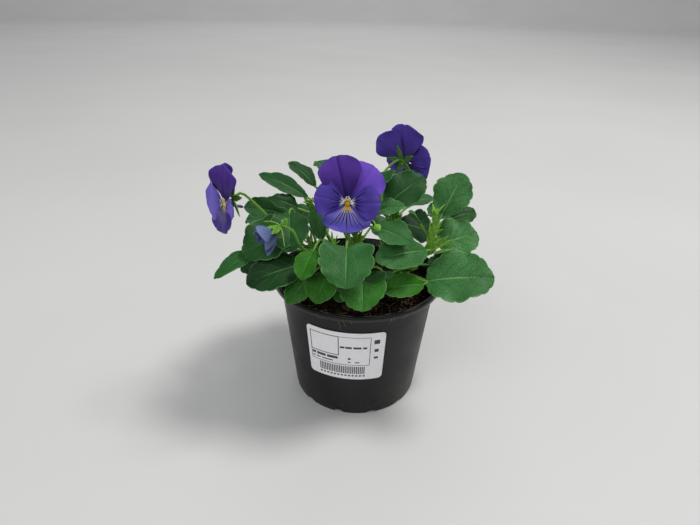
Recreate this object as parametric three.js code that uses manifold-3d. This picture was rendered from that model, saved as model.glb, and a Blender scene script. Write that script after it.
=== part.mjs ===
// A horned violet in a round nursery pot: plastic pot, peat, paper label, leafy stems, blooms and a bud.
// Millimetres, +Z up. The origin is the middle of the pot's foot, and -Y is the side with the label.
import * as THREE from "three";
import { mergeVertices } from "three/addons/utils/BufferGeometryUtils.js";
import Module from "manifold-3d";

const wasm = await Module();
wasm.setup();

// Driving dimensions
const POT = {
  height: 80,
  rimRadius: 52.5,
  shoulderRadius: 47.4,
  footRadius: 39.6,
  wall: 1.2,
  rimDepth: 3.4,
  sides: 32,
  notches: 12,
  drainHoles: 8,
};
const PEAT = { edgeHeight: 72, heap: 3, relief: 0.9, gap: 0.3, sides: 24 };
const LABEL = { width: 46, height: 35.5, middleHeight: 48.5, turn: -9, corner: 2.5, thickness: 0.4, gap: 0.3 };
const CROWN = { holeFloor: 61.5, stemFoot: 62, straightTo: 78, holeRadius: 2.4 };
const STEM_RADIUS = 1.3;
const STALK_RADIUS = 0.85;
const PETIOLE_RADIUS = 0.75;
const LEAF_THICKNESS = 0.7;
const PETAL_THICKNESS = 0.7;
const SMALLEST_STEP = 0.12;
const OLD_JOINTS = 0.5;
const STIPULE = { length: 11, width: 3.2 };
const SEPAL = { length: 11, width: 3.2 };

// Blade outlines. lobe is how far the ears reach back past the stalk, low and full set where the widest
// part lies and how square it is, teeth are per side, and depth is the notch between two teeth.
const OUTLINES = {
  heart: { lobe: 1.05, low: 0.9, full: 0.55, teeth: 5, depth: 0.1, ribs: 2 },
  round: { lobe: 0.2, low: 1, full: 0.55, teeth: 5, depth: 0.1, ribs: 2 },
  oval: { lobe: 0, low: 1.08, full: 0.62, teeth: 4, depth: 0.1, ribs: 2 },
  narrow: { lobe: 0, low: 1.1, full: 0.66, teeth: 3, depth: 0.12, ribs: 2 },
  lance: { lobe: 0, low: 0.8, full: 1, teeth: 0, steps: 3, ribs: 1 },
  petal: { lobe: 0, low: 1.7, full: 0.55, teeth: 0, steps: 8, ribs: 3 },
};

// Each leafy stem: where it leaves the peat, the points it grows through, and its leaves. A leaf is
// [where on the stem, blade's foot, blade's tip, width, roll in degrees, outline].
const STEMS = {
  stem_front: {
    route: [[0, -9], [-2, -16, 88], [-4, -22, 102], [-6, -23, 112]],
    leaves: [
      [0.8, [-7, -40, 116], [-7, -61, 103], 30, 0, "heart"],
      [0.5, [2, -38, 98], [2, -60, 89], 27, 6, "heart"],
      [0.5, [-16, -41, 103], [-22, -58, 92], 19, 0, "oval"],
      [0.4, [-26, -37, 98], [-38, -52, 88], 14, -30, "oval"],
      [0.3, [-6, -38, 97], [-11, -48, 87], 14, 0, "oval"],
      [0.25, [14, -19, 91], [24, -34, 84], 16, -10, "oval"],
    ],
  },
  stem_right: {
    route: [[8, -5], [17, -13, 84], [29, -20, 96], [40, -17, 108], [42, -15, 122]],
    leaves: [
      [0.55, [38, -30, 91], [75, -36, 97], 33, 32, "round"],
      [0.75, [46, -14, 106], [69, -10, 112], 27, 30, "round"],
      [0.88, [47, -8, 122], [59, 0, 145], 23, 32, "oval"],
      [0.7, [38, -27, 109], [8, -43, 110], 21, -35, "oval"],
      [0.5, [37, -33, 91], [11, -46, 94], 14, -45, "oval"],
      [0.8, [55, 5, 115], [71, 9, 118], 15, 25, "oval"],
      [0.35, [42, -4, 88], [72, 2, 82], 26, 10, "oval"],
      [0.85, [34, -16, 120], [27, -19, 129], 9, -10, "narrow"],
    ],
  },
  stem_left: {
    route: [[-8, -5], [-15, -13, 86], [-24, -20, 102], [-30, -22, 114]],
    leaves: [
      [0.6, [-54, -27, 108], [-79, -41, 96], 11, -20, "narrow"],
      [0.75, [-35, -22, 120], [-63, -35, 107], 29, -25, "round"],
      [0.85, [-39, -20, 127], [-37, -41, 113], 22, 0, "round"],
      [0.4, [-29, -36, 104], [-60, -48, 97], 22, -35, "oval"],
      [0.6, [-24, -40, 115], [-30, -53, 103], 14, 0, "oval"],
      [0.35, [-42, -10, 98], [-70, -16, 88], 26, -15, "oval"],
    ],
  },
  stem_middle: {
    route: [[1, 1], [0, -4, 94], [-2, -8, 112], [-4, -9, 126]],
    leaves: [
      [0.65, [6, -25, 122], [28, -38, 118], 18, 20, "oval"],
      [0.75, [6, -15, 126], [25, -17, 131], 12, 25, "oval"],
      [0.55, [-20.5, -21, 111], [-27, -24, 130], 10, -80, "narrow"],
      [0.9, [-10, 2, 134], [-22, 8, 147], 12, 0, "oval"],
      [0.85, [8, -2, 134], [20, 4, 145], 12, 0, "oval"],
    ],
  },
  stem_rear_left: {
    route: [[-7, 7], [-14, 10, 90], [-22, 8, 106], [-28, 3, 120]],
    leaves: [
      [0.88, [-29, -8, 131], [-58, -2, 143], 11, -35, "narrow"],
      [0.85, [-34, -12, 126], [-50, -15, 133], 12, -30, "oval"],
      [0.75, [-40, -5, 118], [-66, -11, 126], 19, -30, "oval"],
      [0.65, [-41, 11, 112], [-71, 15, 107], 30, -10, "round"],
      [0.5, [-32, 26, 102], [-58, 47, 90], 33, 0, "round"],
      [0.8, [-26, 14, 117], [-42, 2, 111], 19, 0, "oval"],
      [0.92, [-26, 8, 132], [-43, 15, 145], 12, -10, "oval"],
    ],
  },
  stem_rear: {
    route: [[0, 10], [-1, 17, 90], [-3, 22, 106], [-4, 24, 120]],
    leaves: [
      [0.4, [-13, 38, 95], [-27, 67, 84], 32, 0, "heart"],
      [0.45, [11, 37, 96], [24, 70, 86], 33, 0, "round"],
      [0.65, [4, 38, 112], [4, 68, 107], 33, 0, "heart"],
      [0.8, [2, 34, 122], [-3, 58, 123], 25, 0, "oval"],
      [0.88, [-14, 26, 130], [-28, 42, 138], 17, 0, "oval"],
    ],
  },
  stem_rear_right: {
    route: [[8, 6], [14, 12, 88], [20, 14, 104], [24, 15, 118]],
    leaves: [
      [0.88, [16, 0, 125], [38, 11, 139], 23, 35, "round"],
      [0.5, [35, 26, 98], [61, 45, 87], 32, 0, "round"],
      [0.65, [44, 20, 111], [72, 30, 107], 26, 10, "round"],
      [0.8, [34, 31, 113], [52, 52, 111], 25, 0, "oval"],
      [0.75, [24, 4, 112], [46, 4, 105], 24, 30, "oval"],
    ],
  },
};

// Open blooms: the heart of the face, where it looks, its roll and size, the stem and the stalk's way up,
// and petals of its own where they stand otherwise than in PETALS.
const BLOOMS = {
  bloom_front: {
    heart: [-7, -28, 136.5],
    looks: [0.04, -0.94, 0.34],
    roll: 0,
    size: 1,
    stem: "stem_middle",
    stalk: [[-2, -8, 112], [-8, -12, 126], [-8, -16, 137]],
  },
  bloom_left: {
    heart: [-73, -23, 133],
    looks: [-0.83, -0.55, 0.06],
    roll: 0,
    size: 0.9,
    petals: [
      [106, 24, 23, -0.4, 0, 4, 0.05],
      [76, 23, 22, -0.9, -4, 4, 0.05],
      [222, 17, 20, 0.8, 28, -6, 0.04],
      [348, 14, 16, 0.9, -4, -6, 0.04],
      [268, 18.5, 25, 0.1, 6, -8, 0.04],
    ],
    stem: "stem_left",
    stalk: [[-24, -20, 102], [-44, -17, 115], [-57, -18, 130]],
  },
  bloom_right: {
    heart: [30, 40, 139],
    looks: [0.62, 0.76, 0.15],
    roll: -14,
    size: 1,
    stem: "stem_rear_right",
    stalk: [[20, 14, 104], [14, 22, 120], [13, 28, 132]],
  },
};
// Petals of a bloom: [angle on the face, length, width, layer forwards, tilt forwards, cup, arch].
const PETALS = [
  [104, 25.5, 24, -0.2, -6, 4, 0.05],
  [52, 24.5, 24, -0.9, -4, 4, 0.05],
  [165, 18, 18.5, 0.8, 3, -6, 0.04],
  [3, 17.5, 18.5, 0.9, 3, -6, 0.04],
  [267, 16, 27, 0.1, 8, -8, 0.04],
];
const BUD = {
  heart: [-43, -45, 126],
  looks: [-0.84, -0.36, -0.4],
  size: 1,
  stem: "stem_left",
  stalk: [[-24, -20, 102], [-31, -37, 114], [-35, -42, 126], [-38, -44, 129]],
};
const BUD_PETALS = [
  [95, 15, 10, 0.4, 56, 34, -0.14],
  [185, 12.5, 9, 0.2, 58, 34, -0.14],
  [265, 13, 9, 0.3, 54, 34, -0.14],
  [350, 13, 9, 0, 52, 34, -0.14],
];

// A merged, closed geometry as a manifold-3d solid, and back.
function solid(geometry) {
  const bare = new THREE.BufferGeometry().setAttribute("position", geometry.getAttribute("position"));
  bare.setIndex(geometry.index);
  const merged = mergeVertices(bare, 1e-3);
  const made = new wasm.Manifold(
    new wasm.Mesh({
      numProp: 3,
      vertProperties: merged.attributes.position.array,
      triVerts: new Uint32Array(merged.index.array),
    }),
  );
  return made;
}

function geometryOf(body) {
  const mesh = body.getMesh();
  const points = new Float32Array(mesh.numVert * 3);
  for (let i = 0; i < mesh.numVert; i++) {
    points.set(mesh.vertProperties.subarray(i * mesh.numProp, i * mesh.numProp + 3), i * 3);
  }
  const geometry = new THREE.BufferGeometry().setAttribute("position", new THREE.BufferAttribute(points, 3));
  geometry.setIndex(new THREE.BufferAttribute(mesh.triVerts, 1));
  geometry.computeVertexNormals();
  return geometry;
}

const join = (bodies) => bodies.reduce((all, body) => all.add(body)).simplify(SMALLEST_STEP);
const vector = (point) => new THREE.Vector3(...point);

// A round bar along a curve, with flat ends.
function bar(points, radius, sides, steps) {
  const path = new THREE.CatmullRomCurve3(points);
  const section = new THREE.Shape();
  for (let i = 0; i < sides; i++) {
    const angle = (2 * Math.PI * i) / sides;
    const move = i ? "lineTo" : "moveTo";
    section[move](radius * Math.cos(angle), radius * Math.sin(angle));
  }
  return solid(new THREE.ExtrudeGeometry(section, { steps, extrudePath: path, bevelEnabled: false }));
}

function ball(centre, radius) {
  const geometry = new THREE.IcosahedronGeometry(radius, 0);
  geometry.translate(centre.x, centre.y, centre.z);
  return solid(geometry);
}

// A thin closed sheet: the same triangles on both faces, joined round the loop of its edge.
function sheet(front, back, triangles, loop) {
  const count = front.length;
  const index = [];
  for (const [a, b, c] of triangles) index.push(a, b, c, count + a, count + c, count + b);
  loop.forEach((a, i) => {
    const b = loop[(i + 1) % loop.length];
    index.push(a, count + a, count + b, a, count + b, b);
  });
  const points = [...front, ...back].flatMap((point) => point.toArray());
  const geometry = new THREE.BufferGeometry();
  geometry.setAttribute("position", new THREE.Float32BufferAttribute(points, 3));
  geometry.setIndex(index);
  return solid(geometry);
}

// Points along one side of an outline, from the foot to the tip, as [along, across].
function outlineSide(outline) {
  const steps = outline.teeth ? 2 * outline.teeth + 1 : outline.steps;
  const side = [];
  for (let k = 1; k < steps; k++) {
    const t = (1 - Math.cos((Math.PI * k) / steps)) / 2;
    const notch = outline.teeth && k % 2 === 0 ? outline.depth : 0;
    const along = t - outline.lobe * Math.sin(Math.PI * t) * (1 - t) ** 3;
    const across = Math.sin(Math.PI * t ** outline.low) ** outline.full;
    side.push([0.5 + (along - 0.5) * (1 - 0.4 * notch), across * (1 - notch)]);
  }
  return side;
}

// Triangles of the strip between the rib and one edge, both given as [vertex, how far along].
function strip(rib, edge, mirrored) {
  const triangles = [];
  let i = 0;
  let j = 0;
  while (i < rib.length - 1 || j < edge.length - 1) {
    const edgeNext = i === rib.length - 1 || (j < edge.length - 1 && edge[j + 1][1] <= rib[i + 1][1]);
    const corner = edgeNext ? edge[j + 1][0] : rib[i + 1][0];
    const triangle = [rib[i][0], edge[j][0], corner];
    if (new Set(triangle).size === 3) triangles.push(mirrored ? triangle.reverse() : triangle);
    if (edgeNext) j++;
    else i++;
  }
  return triangles;
}

// A leaf, petal, sepal or stipule. faces is the way its upper side looks.
function blade({ foot, tip, width, faces, roll = 0, outline, arch = 0, cup = 0, wave = 0, thickness }) {
  const reach = tip.clone().sub(foot);
  const length = reach.length();
  const forward = reach.clone().normalize();
  const up = faces.clone().addScaledVector(forward, -faces.dot(forward)).normalize();
  up.applyAxisAngle(forward, THREE.MathUtils.degToRad(roll));
  const right = new THREE.Vector3().crossVectors(forward, up);
  const rise = Math.tan(THREE.MathUtils.degToRad(cup));
  const front = [];
  const back = [];
  const place = (along, across, ripple) => {
    const slope = 4 * arch * (1 - 2 * along);
    const normal = up.clone().addScaledVector(forward, -slope).normalize();
    const side = (across * width) / 2;
    const lift = Math.abs(side) * (rise + ripple);
    const point = foot.clone().addScaledVector(forward, along * length);
    point.addScaledVector(up, 4 * arch * length * along * (1 - along));
    point.addScaledVector(right, side).addScaledVector(normal, lift);
    front.push(point.clone().addScaledVector(normal, thickness / 2));
    back.push(point.clone().addScaledVector(normal, -thickness / 2));
    return front.length - 1;
  };
  const rib = [];
  for (let i = 0; i <= outline.ribs; i++) rib.push([place(i / outline.ribs, 0, 0), i / outline.ribs]);
  const side = outlineSide(outline);
  const edgeOf = (sign) => {
    const between = side.map(([along, across], k) => {
      const ripple = wave * Math.sin(k * 1.9 + sign);
      return [place(along, sign * across, ripple), Math.max(0, along)];
    });
    return [rib[0], ...between, rib[rib.length - 1]];
  };
  const rightEdge = edgeOf(1);
  const leftEdge = edgeOf(-1);
  const triangles = [...strip(rib, rightEdge, false), ...strip(rib, leftEdge, true)];
  const loop = [...rightEdge, ...leftEdge.slice(1, -1).reverse()].map(([vertex]) => vertex);
  return sheet(front, back, triangles, loop);
}

// One leaf with its petiole, grown from a point of its stem, and a stipule unless its joint is an old one.
function leaf(stem, [place, footPoint, tipPoint, width, roll, kind]) {
  const root = stem.getPointAt(place);
  const foot = vector(footPoint);
  const tip = vector(tipPoint);
  const heading = tip.clone().sub(foot).normalize();
  const span = foot.distanceTo(root);
  const elbow = foot.clone().addScaledVector(heading, -0.45 * span);
  elbow.z = Math.max(elbow.z, root.z + 0.3 * (foot.z - root.z));
  const bend = new THREE.QuadraticBezierCurve3(root, elbow, foot);
  const way = [0, 0.35, 0.7, 1].map((t) => bend.getPoint(t));
  way.push(foot.clone().addScaledVector(heading, 1));
  const upward = new THREE.Vector3(0, 0, 1);
  const made = [
    bar(way, PETIOLE_RADIUS, 3, 3),
    blade({
      foot,
      tip,
      width,
      roll,
      faces: upward,
      outline: OUTLINES[kind],
      arch: 0.07,
      cup: 10,
      wave: 0.1,
      thickness: LEAF_THICKNESS,
    }),
  ];
  if (place < OLD_JOINTS) return made;
  const outward = way[1].clone().sub(root).setLength(1);
  const growing = stem.getTangentAt(place);
  const stipuleTip = root.clone().addScaledVector(growing, 0.8 * STIPULE.length);
  stipuleTip.addScaledVector(outward, 0.45 * STIPULE.length);
  made.push(
    blade({
      foot: root,
      tip: stipuleTip,
      width: STIPULE.width,
      faces: outward,
      outline: OUTLINES.lance,
      thickness: LEAF_THICKNESS,
    }),
  );
  return made;
}

// The cluster of young leaves at the top of a stem.
function shoot(stem) {
  const foot = stem.getPointAt(0.97);
  const growing = stem.getTangentAt(1);
  const blades = [];
  for (let i = 0; i < 3; i++) {
    const outward = new THREE.Vector3(1, 0, 0).applyAxisAngle(new THREE.Vector3(0, 0, 1), (i * 2 * Math.PI) / 3);
    const tip = foot.clone().addScaledVector(growing, 12 - i).addScaledVector(outward, 4.5);
    blades.push(
      blade({ foot, tip, width: 4, faces: outward.negate(), outline: OUTLINES.lance, thickness: LEAF_THICKNESS }),
    );
  }
  return blades;
}

// A flower's own axes: forwards out of its face, up and right on it.
function faceOf({ heart, looks, roll = 0 }) {
  const forward = vector(looks).normalize();
  const up = new THREE.Vector3(0, 0, 1).addScaledVector(forward, -forward.z).normalize();
  up.applyAxisAngle(forward, THREE.MathUtils.degToRad(roll));
  const right = new THREE.Vector3().crossVectors(up, forward);
  const at = (x, y, z) =>
    vector(heart).addScaledVector(right, x).addScaledVector(up, y).addScaledVector(forward, z);
  return { forward, up, right, at };
}

function petalsOf(flower, rows) {
  const face = faceOf(flower);
  const made = [ball(face.at(0, 0, 0), 2)];
  for (const [angle, length, width, layer, tilt, cup, arch] of rows) {
    const turn = THREE.MathUtils.degToRad(angle);
    const lean = THREE.MathUtils.degToRad(tilt);
    const foot = face.at(Math.cos(turn), Math.sin(turn), layer);
    const reach = flower.size * length * Math.cos(lean);
    const rise = flower.size * length * Math.sin(lean);
    const tip = face.at(reach * Math.cos(turn), reach * Math.sin(turn), layer + rise);
    made.push(
      blade({
        foot,
        tip,
        width: flower.size * width,
        faces: face.forward,
        outline: OUTLINES.petal,
        arch,
        cup,
        wave: 0.05,
        thickness: PETAL_THICKNESS,
      }),
    );
  }
  return made;
}

// The nectar spur runs back from the lowest petal, under the calyx.
function spur(flower) {
  const face = faceOf(flower);
  return bar([face.at(0, -0.9, 0.5), face.at(0, -1.8, -4), face.at(0, -3.6, -10)], 1, 4, 3);
}

// Receptacle, sepals and stalk, grown from the stem.
function calyx(flower, spread) {
  const face = faceOf(flower);
  const seat = face.at(0, 2.2, -3.8);
  const made = [ball(seat, 2)];
  for (let i = 0; i < 5; i++) {
    const turn = Math.PI / 2 + (i * 2 * Math.PI) / 5;
    const reach = SEPAL.length * Math.cos(spread);
    const tip = face.at(
      reach * Math.cos(turn),
      2.2 + reach * Math.sin(turn),
      -3.8 + SEPAL.length * Math.sin(spread),
    );
    const lance = {
      foot: seat,
      tip,
      width: SEPAL.width,
      faces: face.forward,
      outline: OUTLINES.lance,
      thickness: LEAF_THICKNESS,
    };
    made.push(blade(lance));
  }
  const way = [...flower.stalk.map(vector), face.at(0, 4.6, -9), face.at(0, 3.6, -6.5), seat];
  made.push(bar(way, STALK_RADIUS, 4, 8));
  return made;
}

function pot() {
  const { height, rimRadius, shoulderRadius, footRadius, wall, rimDepth } = POT;
  const floor = 1.4;
  const channel = 2.2;
  const profile = [
    [0, 0],
    [24, 0],
    [25.5, channel],
    [34, channel],
    [35.5, 0],
    [footRadius - 0.6, 0],
    [footRadius, 0.8],
    [shoulderRadius, height - 9],
    [shoulderRadius + 0.9, height - rimDepth - 1],
    [rimRadius - 0.6, height - rimDepth],
    [rimRadius, height - rimDepth + 1],
    [rimRadius - 0.6, height - 0.5],
    [rimRadius - 1.8, height],
    [shoulderRadius + 1.2 - wall, height - rimDepth - 1],
    [shoulderRadius - wall, height - 9],
    [footRadius - wall, channel + wall],
    [24.5, channel + wall],
    [23, floor],
    [0, floor],
  ];
  const lathe = new THREE.LatheGeometry(
    profile.map(([r, z]) => new THREE.Vector2(r, z)),
    POT.sides,
  );
  lathe.rotateX(Math.PI / 2);
  const cuts = [];
  const cutter = (width, depth, tall, radius, z, angle) => {
    const box = new THREE.BoxGeometry(depth, width, tall);
    box.translate(radius, 0, z);
    box.rotateZ(angle);
    return solid(box);
  };
  for (let i = 0; i < POT.notches; i++) {
    cuts.push(cutter(6, 9, 3, 38.5, 0, ((i + 0.5) * 2 * Math.PI) / POT.notches));
  }
  for (let i = 0; i < POT.drainHoles; i++) {
    cuts.push(cutter(9, 4, 8, 30, 3, ((i + 0.25) * 2 * Math.PI) / POT.drainHoles));
  }
  return solid(lathe).subtract(join(cuts));
}

const relief = (x, y) =>
  Math.sin(x * 0.42 + 1) * Math.cos(y * 0.37) + 0.6 * Math.sin(x * 0.9 - y * 0.7) + 0.5 * Math.cos(y * 1.1 + x * 0.3);

function peat() {
  const wallAt = (z) => {
    const slope = (POT.shoulderRadius - POT.footRadius) / (POT.height - 9);
    return POT.footRadius + slope * z - POT.wall - PEAT.gap - 0.25;
  };
  const bottom = 2.2 + POT.wall + PEAT.gap;
  const top = PEAT.edgeHeight;
  const outer = wallAt(top - 4) - 0.1;
  const rings = [1, 0.88, 0.73, 0.57, 0.4, 0.2, 0].map((share) => share * outer);
  const profile = [
    [0, bottom],
    [wallAt(bottom + 2) - 1.8, bottom],
    [wallAt(bottom + 2), bottom + 2],
    [wallAt(top - 4), top - 4],
    ...rings.map((r, i) => [r, top + (i ? PEAT.heap * (1 - (r / outer) ** 2) : -1)]),
  ];
  const lathe = new THREE.LatheGeometry(
    profile.map(([r, z]) => new THREE.Vector2(r, z)),
    PEAT.sides,
  );
  lathe.rotateX(Math.PI / 2);
  const points = lathe.getAttribute("position");
  for (let i = 0; i < points.count; i++) {
    const x = points.getX(i);
    const y = points.getY(i);
    const inside = Math.hypot(x, y) < outer - 1 && points.getZ(i) > top - 2;
    if (inside) points.setZ(i, points.getZ(i) + PEAT.relief * relief(x, y));
  }
  const holes = Object.values(STEMS).map(({ route }) => {
    const [x, y] = route[0];
    const depth = 40;
    const hole = new THREE.CylinderGeometry(CROWN.holeRadius, CROWN.holeRadius, depth, 8);
    hole.rotateX(Math.PI / 2);
    hole.translate(x, y, CROWN.holeFloor + depth / 2);
    return solid(hole);
  });
  return solid(lathe).subtract(join(holes));
}

function label() {
  const { width, height, middleHeight, turn, corner, thickness, gap } = LABEL;
  const slope = (POT.shoulderRadius - POT.footRadius) / (POT.height - 9);
  const columns = [];
  for (let i = 0; i <= 12; i++) columns.push(-width / 2 + corner + (i * (width - 2 * corner)) / 12);
  const across = [-width / 2, -width / 2 + 0.3 * corner, ...columns, width / 2 - 0.3 * corner, width / 2];
  const inset = across.map((x) => {
    const over = Math.max(0, Math.abs(x) - (width / 2 - corner));
    return corner - Math.sqrt(corner ** 2 - over ** 2);
  });
  const face = (offset) =>
    across.flatMap((x, i) =>
      [-1, 1].map((end) => {
        const z = middleHeight + end * (height / 2 - inset[i]);
        const radius = POT.footRadius + slope * z + offset;
        const middle = POT.footRadius + slope * middleHeight;
        const angle = -Math.PI / 2 + THREE.MathUtils.degToRad(turn) + x / middle;
        return new THREE.Vector3(radius * Math.cos(angle), radius * Math.sin(angle), z);
      }),
    );
  const triangles = [];
  for (let i = 0; i < across.length - 1; i++) {
    const a = 2 * i;
    triangles.push([a, a + 2, a + 3], [a, a + 3, a + 1]);
  }
  const lower = across.map((_, i) => 2 * i);
  const upper = across.map((_, i) => 2 * i + 1).reverse();
  return sheet(face(gap + thickness), face(gap), triangles, [...lower, ...upper]);
}

function leafyStem(name) {
  const { route, leaves } = STEMS[name];
  const [[x, y], ...above] = route;
  const way = [[x, y, CROWN.stemFoot], [x, y, CROWN.straightTo], ...above].map(vector);
  const curve = new THREE.CatmullRomCurve3(way);
  const grown = [bar(way, STEM_RADIUS, 5, 7), ...shoot(curve)];
  leaves.forEach((row) => grown.push(...leaf(curve, row)));
  for (const bloom of Object.values(BLOOMS)) if (bloom.stem === name) grown.push(...calyx(bloom, -0.15));
  if (BUD.stem === name) grown.push(...calyx(BUD, -0.1));
  return join(grown);
}

const material = (color, roughness) => new THREE.MeshStandardMaterial({ color, roughness, metalness: 0 });
const BLACK_PLASTIC = material(0x232427, 0.45);
const DARK_PEAT = material(0x2a1c14, 1);
const WHITE_PAPER = material(0xe4e2e2, 0.6);
const LEAF_GREEN = material(0x2f6b33, 0.6);
const VIOLET = material(0x4b33a0, 0.7);
const PALE_BLUE = material(0x7f90c8, 0.7);
const YOLK = material(0xd8a520, 0.6);

const plant = new THREE.Group();
function add(name, body, finish) {
  const mesh = new THREE.Mesh(geometryOf(body), finish);
  mesh.name = name;
  plant.add(mesh);
}

add("pot", pot(), BLACK_PLASTIC);
add("peat", peat(), DARK_PEAT);
add("label", label(), WHITE_PAPER);
for (const name of Object.keys(STEMS)) add(name, leafyStem(name), LEAF_GREEN);
for (const [name, bloom] of Object.entries(BLOOMS)) {
  add(name + "_petals", join([...petalsOf(bloom, bloom.petals ?? PETALS), spur(bloom)]), VIOLET);
  add(name + "_pistil", ball(faceOf(bloom).at(0, 0, 3.4), 1.1), YOLK);
}
add("bud_petals", join(petalsOf(BUD, BUD_PETALS)), PALE_BLUE);

export default plant;
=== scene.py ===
import math
import random

import bpy
from mathutils import Matrix, Vector, noise


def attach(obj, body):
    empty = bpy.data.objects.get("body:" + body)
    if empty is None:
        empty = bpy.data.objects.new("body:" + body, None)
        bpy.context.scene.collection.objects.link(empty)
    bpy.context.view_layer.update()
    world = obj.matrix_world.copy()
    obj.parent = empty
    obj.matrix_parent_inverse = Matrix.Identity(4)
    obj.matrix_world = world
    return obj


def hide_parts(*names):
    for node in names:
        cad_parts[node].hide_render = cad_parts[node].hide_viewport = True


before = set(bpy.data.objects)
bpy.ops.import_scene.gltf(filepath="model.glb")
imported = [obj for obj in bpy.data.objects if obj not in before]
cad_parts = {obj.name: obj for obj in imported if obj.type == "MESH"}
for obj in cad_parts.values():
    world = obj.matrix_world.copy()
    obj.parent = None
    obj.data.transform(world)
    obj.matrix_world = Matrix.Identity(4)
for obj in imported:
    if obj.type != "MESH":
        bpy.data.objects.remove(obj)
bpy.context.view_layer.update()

MM = 0.001
UP = Vector((0, 0, 1))

# Driving dimensions, as in the part
POT = {
    "height": 80,
    "rimRadius": 52.5,
    "shoulderRadius": 47.4,
    "footRadius": 39.6,
    "wall": 1.2,
    "rimDepth": 3.4,
    "notches": 12,
    "drainHoles": 8,
}
PEAT = {"edgeHeight": 72, "heap": 3, "relief": 0.9, "gap": 0.3}
LABEL = {"width": 46, "height": 35.5, "middleHeight": 48.5, "turn": -9, "corner": 2.5, "gap": 0.3}
CROWN = {"stemFoot": 62, "straightTo": 78}

# Blade outlines. lobe is how far the ears reach back past the stalk, low and full set where the widest
# part lies and how square it is, teeth are per side, and depth is the notch between two teeth.
OUTLINES = {
    "heart": {"lobe": 1.05, "low": 0.9, "full": 0.55, "teeth": 5, "depth": 0.1},
    "round": {"lobe": 0.2, "low": 1, "full": 0.55, "teeth": 5, "depth": 0.1},
    "oval": {"lobe": 0, "low": 1.08, "full": 0.62, "teeth": 4, "depth": 0.1},
    "narrow": {"lobe": 0, "low": 1.1, "full": 0.66, "teeth": 3, "depth": 0.12},
    "lance": {"lobe": 0, "low": 0.8, "full": 1, "teeth": 0, "steps": 3},
    "petal": {"lobe": 0, "low": 1.7, "full": 0.55, "teeth": 0, "steps": 8},
    "lip": {"lobe": 0, "low": 1.25, "full": 0.5, "teeth": 0, "steps": 8},
}

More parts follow.
